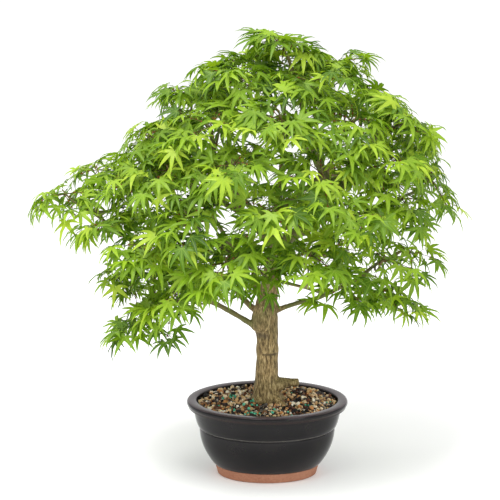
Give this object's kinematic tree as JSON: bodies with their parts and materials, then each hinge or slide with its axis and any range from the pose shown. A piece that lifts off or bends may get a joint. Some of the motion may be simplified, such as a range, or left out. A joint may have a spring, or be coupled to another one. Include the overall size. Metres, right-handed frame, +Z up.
{
  "type": "potted maple bonsai tree",
  "caption": "Broad-crowned green maple bonsai with a leaning forked trunk and tiered leaf sprays, rooted in gravel-topped soil in an oval dark-glazed pot with a flared rim and bare clay foot.",
  "frame": {"origin": "centre of the pot's base, on the surface it stands on", "axes": "+Z up; +X along the pot's long side, to the right seen from the front; the front faces -Y"},
  "size_m": [0.5352, 0.4246, 0.569],
  "materials": {
    "charcoal_glaze": "glossy near-black glaze with a bare terracotta foot",
    "drain_mesh_plastic": "matt black plastic mesh",
    "potting_soil": "matt granular soil",
    "gravel": "matt mixed tan, brown and grey grit",
    "fertiliser": "matt blue-green pellet",
    "bark": "matt olive-brown bark with fine vertical streaks",
    "maple_leaf": "thin satin fresh-green leaves"
  },
  "bodies": {
    "root": {"drainage_mesh_left": "drain_mesh_plastic", "drainage_mesh_right": "drain_mesh_plastic", "fertiliser_pellet_1": "fertiliser", "fertiliser_pellet_2": "fertiliser", "fertiliser_pellet_3": "fertiliser", "gravel_top_dressing": "gravel", "leaf_spray_hanging_1": "maple_leaf", "leaf_spray_hanging_2": "maple_leaf", "leaf_spray_hanging_3": "maple_leaf", "leaf_spray_left_tip_1": "maple_leaf", "leaf_spray_left_tip_2": "maple_leaf", "leaf_spray_left_tip_3": "maple_leaf", "leaf_spray_lower_1": "maple_leaf", "leaf_spray_lower_2": "maple_leaf", "leaf_spray_lower_3": "maple_leaf", "leaf_spray_lower_4": "maple_leaf", "leaf_spray_lower_5": "maple_leaf", "leaf_spray_lower_6": "maple_leaf", "leaf_spray_middle_1": "maple_leaf", "leaf_spray_middle_2": "maple_leaf", "leaf_spray_middle_3": "maple_leaf", "leaf_spray_middle_4": "maple_leaf", "leaf_spray_middle_5": "maple_leaf", "leaf_spray_middle_6": "maple_leaf", "leaf_spray_middle_7": "maple_leaf", "leaf_spray_middle_8": "maple_leaf", "leaf_spray_outer_1": "maple_leaf", "leaf_spray_outer_2": "maple_leaf", "leaf_spray_outer_3": "maple_leaf", "leaf_spray_outer_4": "maple_leaf", "leaf_spray_outer_5": "maple_leaf", "leaf_spray_outer_6": "maple_leaf", "leaf_spray_outer_7": "maple_leaf", "leaf_spray_outer_8": "maple_leaf", "leaf_spray_outer_9": "maple_leaf", "leaf_spray_skirt_1": "maple_leaf", "leaf_spray_skirt_2": "maple_leaf", "leaf_spray_skirt_3": "maple_leaf", "leaf_spray_skirt_4": "maple_leaf", "leaf_spray_skirt_5": "maple_leaf", "leaf_spray_skirt_6": "maple_leaf", "leaf_spray_skirt_7": "maple_leaf", "leaf_spray_skirt_8": "maple_leaf", "leaf_spray_top_1": "maple_leaf", "leaf_spray_top_2": "maple_leaf", "leaf_spray_top_3": "maple_leaf", "leaf_spray_top_4": "maple_leaf", "leaf_spray_top_5": "maple_leaf", "leaf_spray_top_6": "maple_leaf", "leaf_spray_upper_1": "maple_leaf", "leaf_spray_upper_2": "maple_leaf", "leaf_spray_upper_3": "maple_leaf", "leaf_spray_upper_4": "maple_leaf", "leaf_spray_upper_5": "maple_leaf", "leaf_spray_upper_6": "maple_leaf", "leaf_spray_upper_7": "maple_leaf", "leaf_spray_upper_8": "maple_leaf", "pot": "charcoal_glaze", "soil": "potting_soil", "tree_wood": "bark"}
  },
  "joints": []
}
